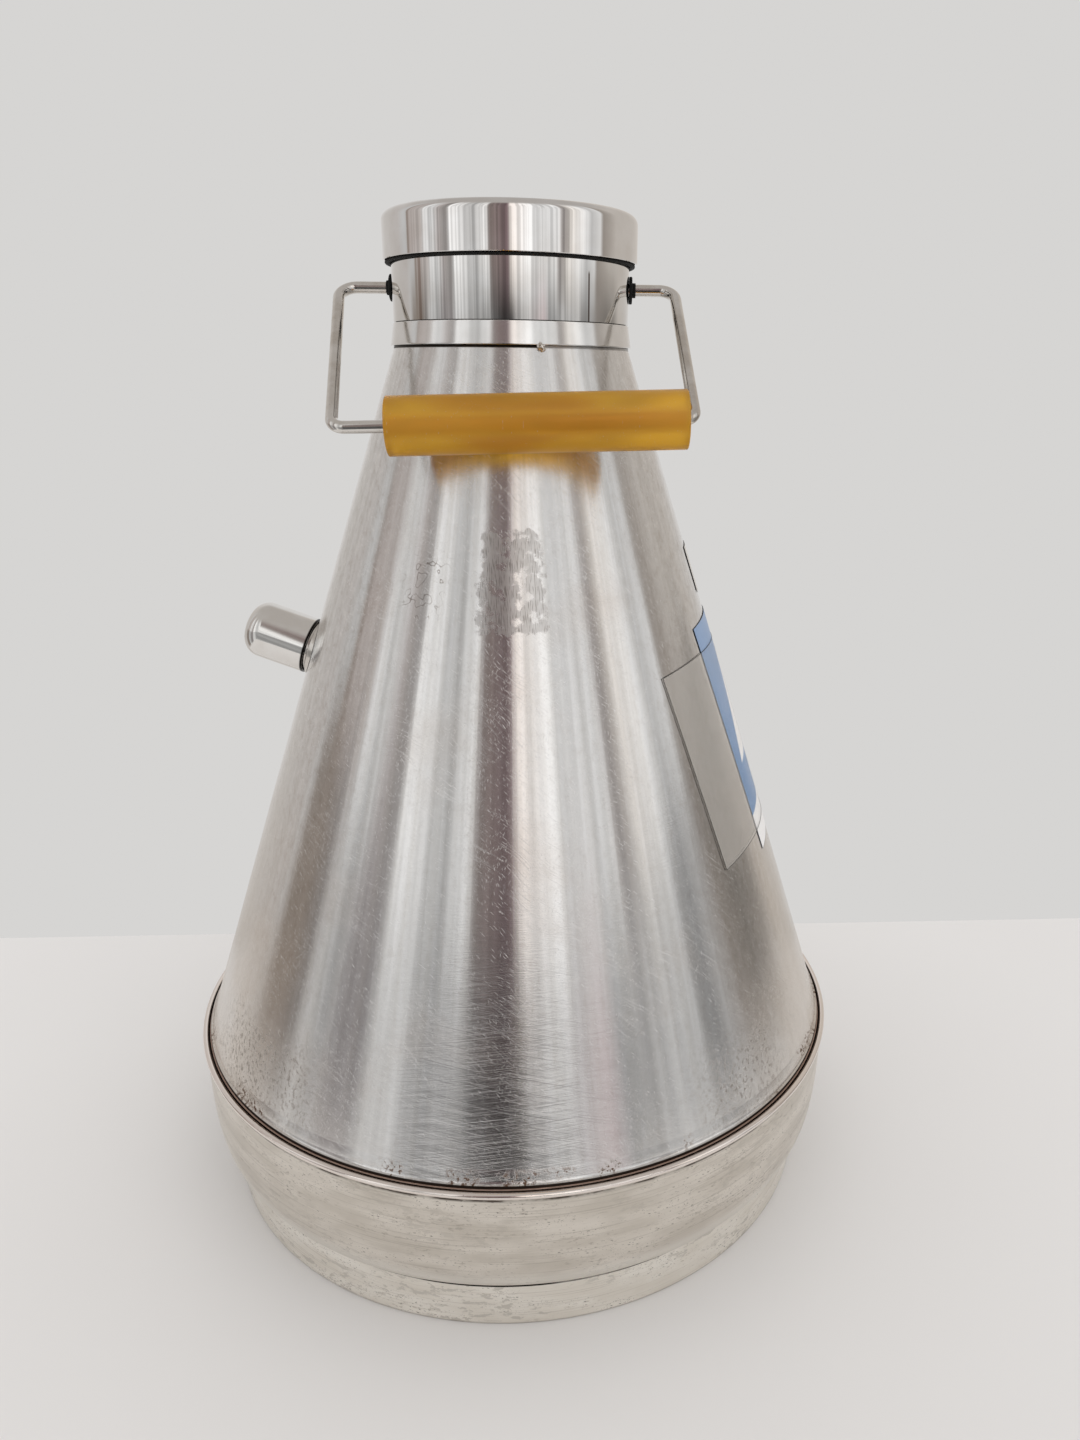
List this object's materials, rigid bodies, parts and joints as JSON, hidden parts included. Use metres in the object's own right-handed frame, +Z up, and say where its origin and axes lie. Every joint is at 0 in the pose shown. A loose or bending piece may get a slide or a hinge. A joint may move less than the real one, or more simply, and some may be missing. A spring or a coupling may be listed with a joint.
{
  "type": "liquid nitrogen dewar",
  "caption": "Conical stainless steel vacuum dewar with a lift-off lid and plug, a swinging bail handle with a rubber grip, and a capped evacuation port.",
  "frame": {"origin": "centre of the foot ring, on the floor", "axes": "+Z up along the vessel axis, front (the side the bail rests on) towards -Y, evacuation port towards -X"},
  "size_m": [0.4208, 0.4208, 0.5925],
  "materials": {
    "cone_steel": "lightly scratched satin",
    "base_steel": "dull spun finish",
    "polished_steel": "mirror polished",
    "rod_steel": "drawn and slightly tarnished",
    "inner_steel": "bright rolled",
    "foil_wrap": "metallised film in layers",
    "tray_steel": "plain sheet",
    "black_rubber": "matt",
    "amber_rubber": "translucent satin",
    "foam": "closed-cell foam",
    "fibre": "glass fibre laminate",
    "label_blue": "coated label",
    "label_clear": "thin film label"
  },
  "bodies": {
    "vessel": {"foot_ring": "base_steel", "base_bowl": "base_steel", "outer_cone": "cone_steel", "collar_ring": "polished_steel", "collar_tack_weld": "rod_steel", "neck_sleeve": "polished_steel", "neck_top_ring": "polished_steel", "neck_tube": "inner_steel", "inner_shoulder": "inner_steel", "inner_base": "inner_steel", "cone_insulation": "foil_wrap", "base_insulation": "foil_wrap", "neck_insulation": "foil_wrap", "sorbent_tray": "tray_steel", "base_snubber": "fibre", "left_pivot_socket": "rod_steel", "left_pivot_washer": "black_rubber", "right_pivot_socket": "rod_steel", "right_pivot_washer": "black_rubber", "port_flange": "rod_steel", "port_tube": "rod_steel", "port_plug": "rod_steel", "port_plug_oring": "black_rubber", "large_label": "label_blue", "clear_label": "label_clear", "upper_label": "label_clear"},
    "lid": {"lid_cap": "polished_steel", "lid_gasket": "black_rubber", "plug_core": "foam", "plug_head_disc": "inner_steel", "plug_base_disc": "inner_steel", "plug_stud": "rod_steel", "plug_nut": "rod_steel"},
    "bail": {"bail_handle": "rod_steel"},
    "grip": {"grip_tube": "amber_rubber"},
    "port_cap": {"port_cap": "polished_steel"}
  },
  "joints": [
    {"name": "lid_lift", "type": "slide", "parent": "vessel", "child": "lid", "axis": [0, 0, 1], "range_m": [0, 0.12]},
    {"name": "bail_swing", "type": "hinge", "parent": "vessel", "child": "bail", "pos_m": [0, 0, 0.554], "axis": [-1, 0, 0], "range_deg": [0, 252.09]},
    {"name": "grip_slide", "type": "slide", "parent": "bail", "child": "grip", "axis": [0.9985, 0.0435, 0.0319], "range_m": [-0.021, 0]},
    {"name": "port_cap_pull", "type": "slide", "parent": "vessel", "child": "port_cap", "axis": [-0.9471, 0.0795, 0.3109], "range_m": [0, 0.045]}
  ]
}
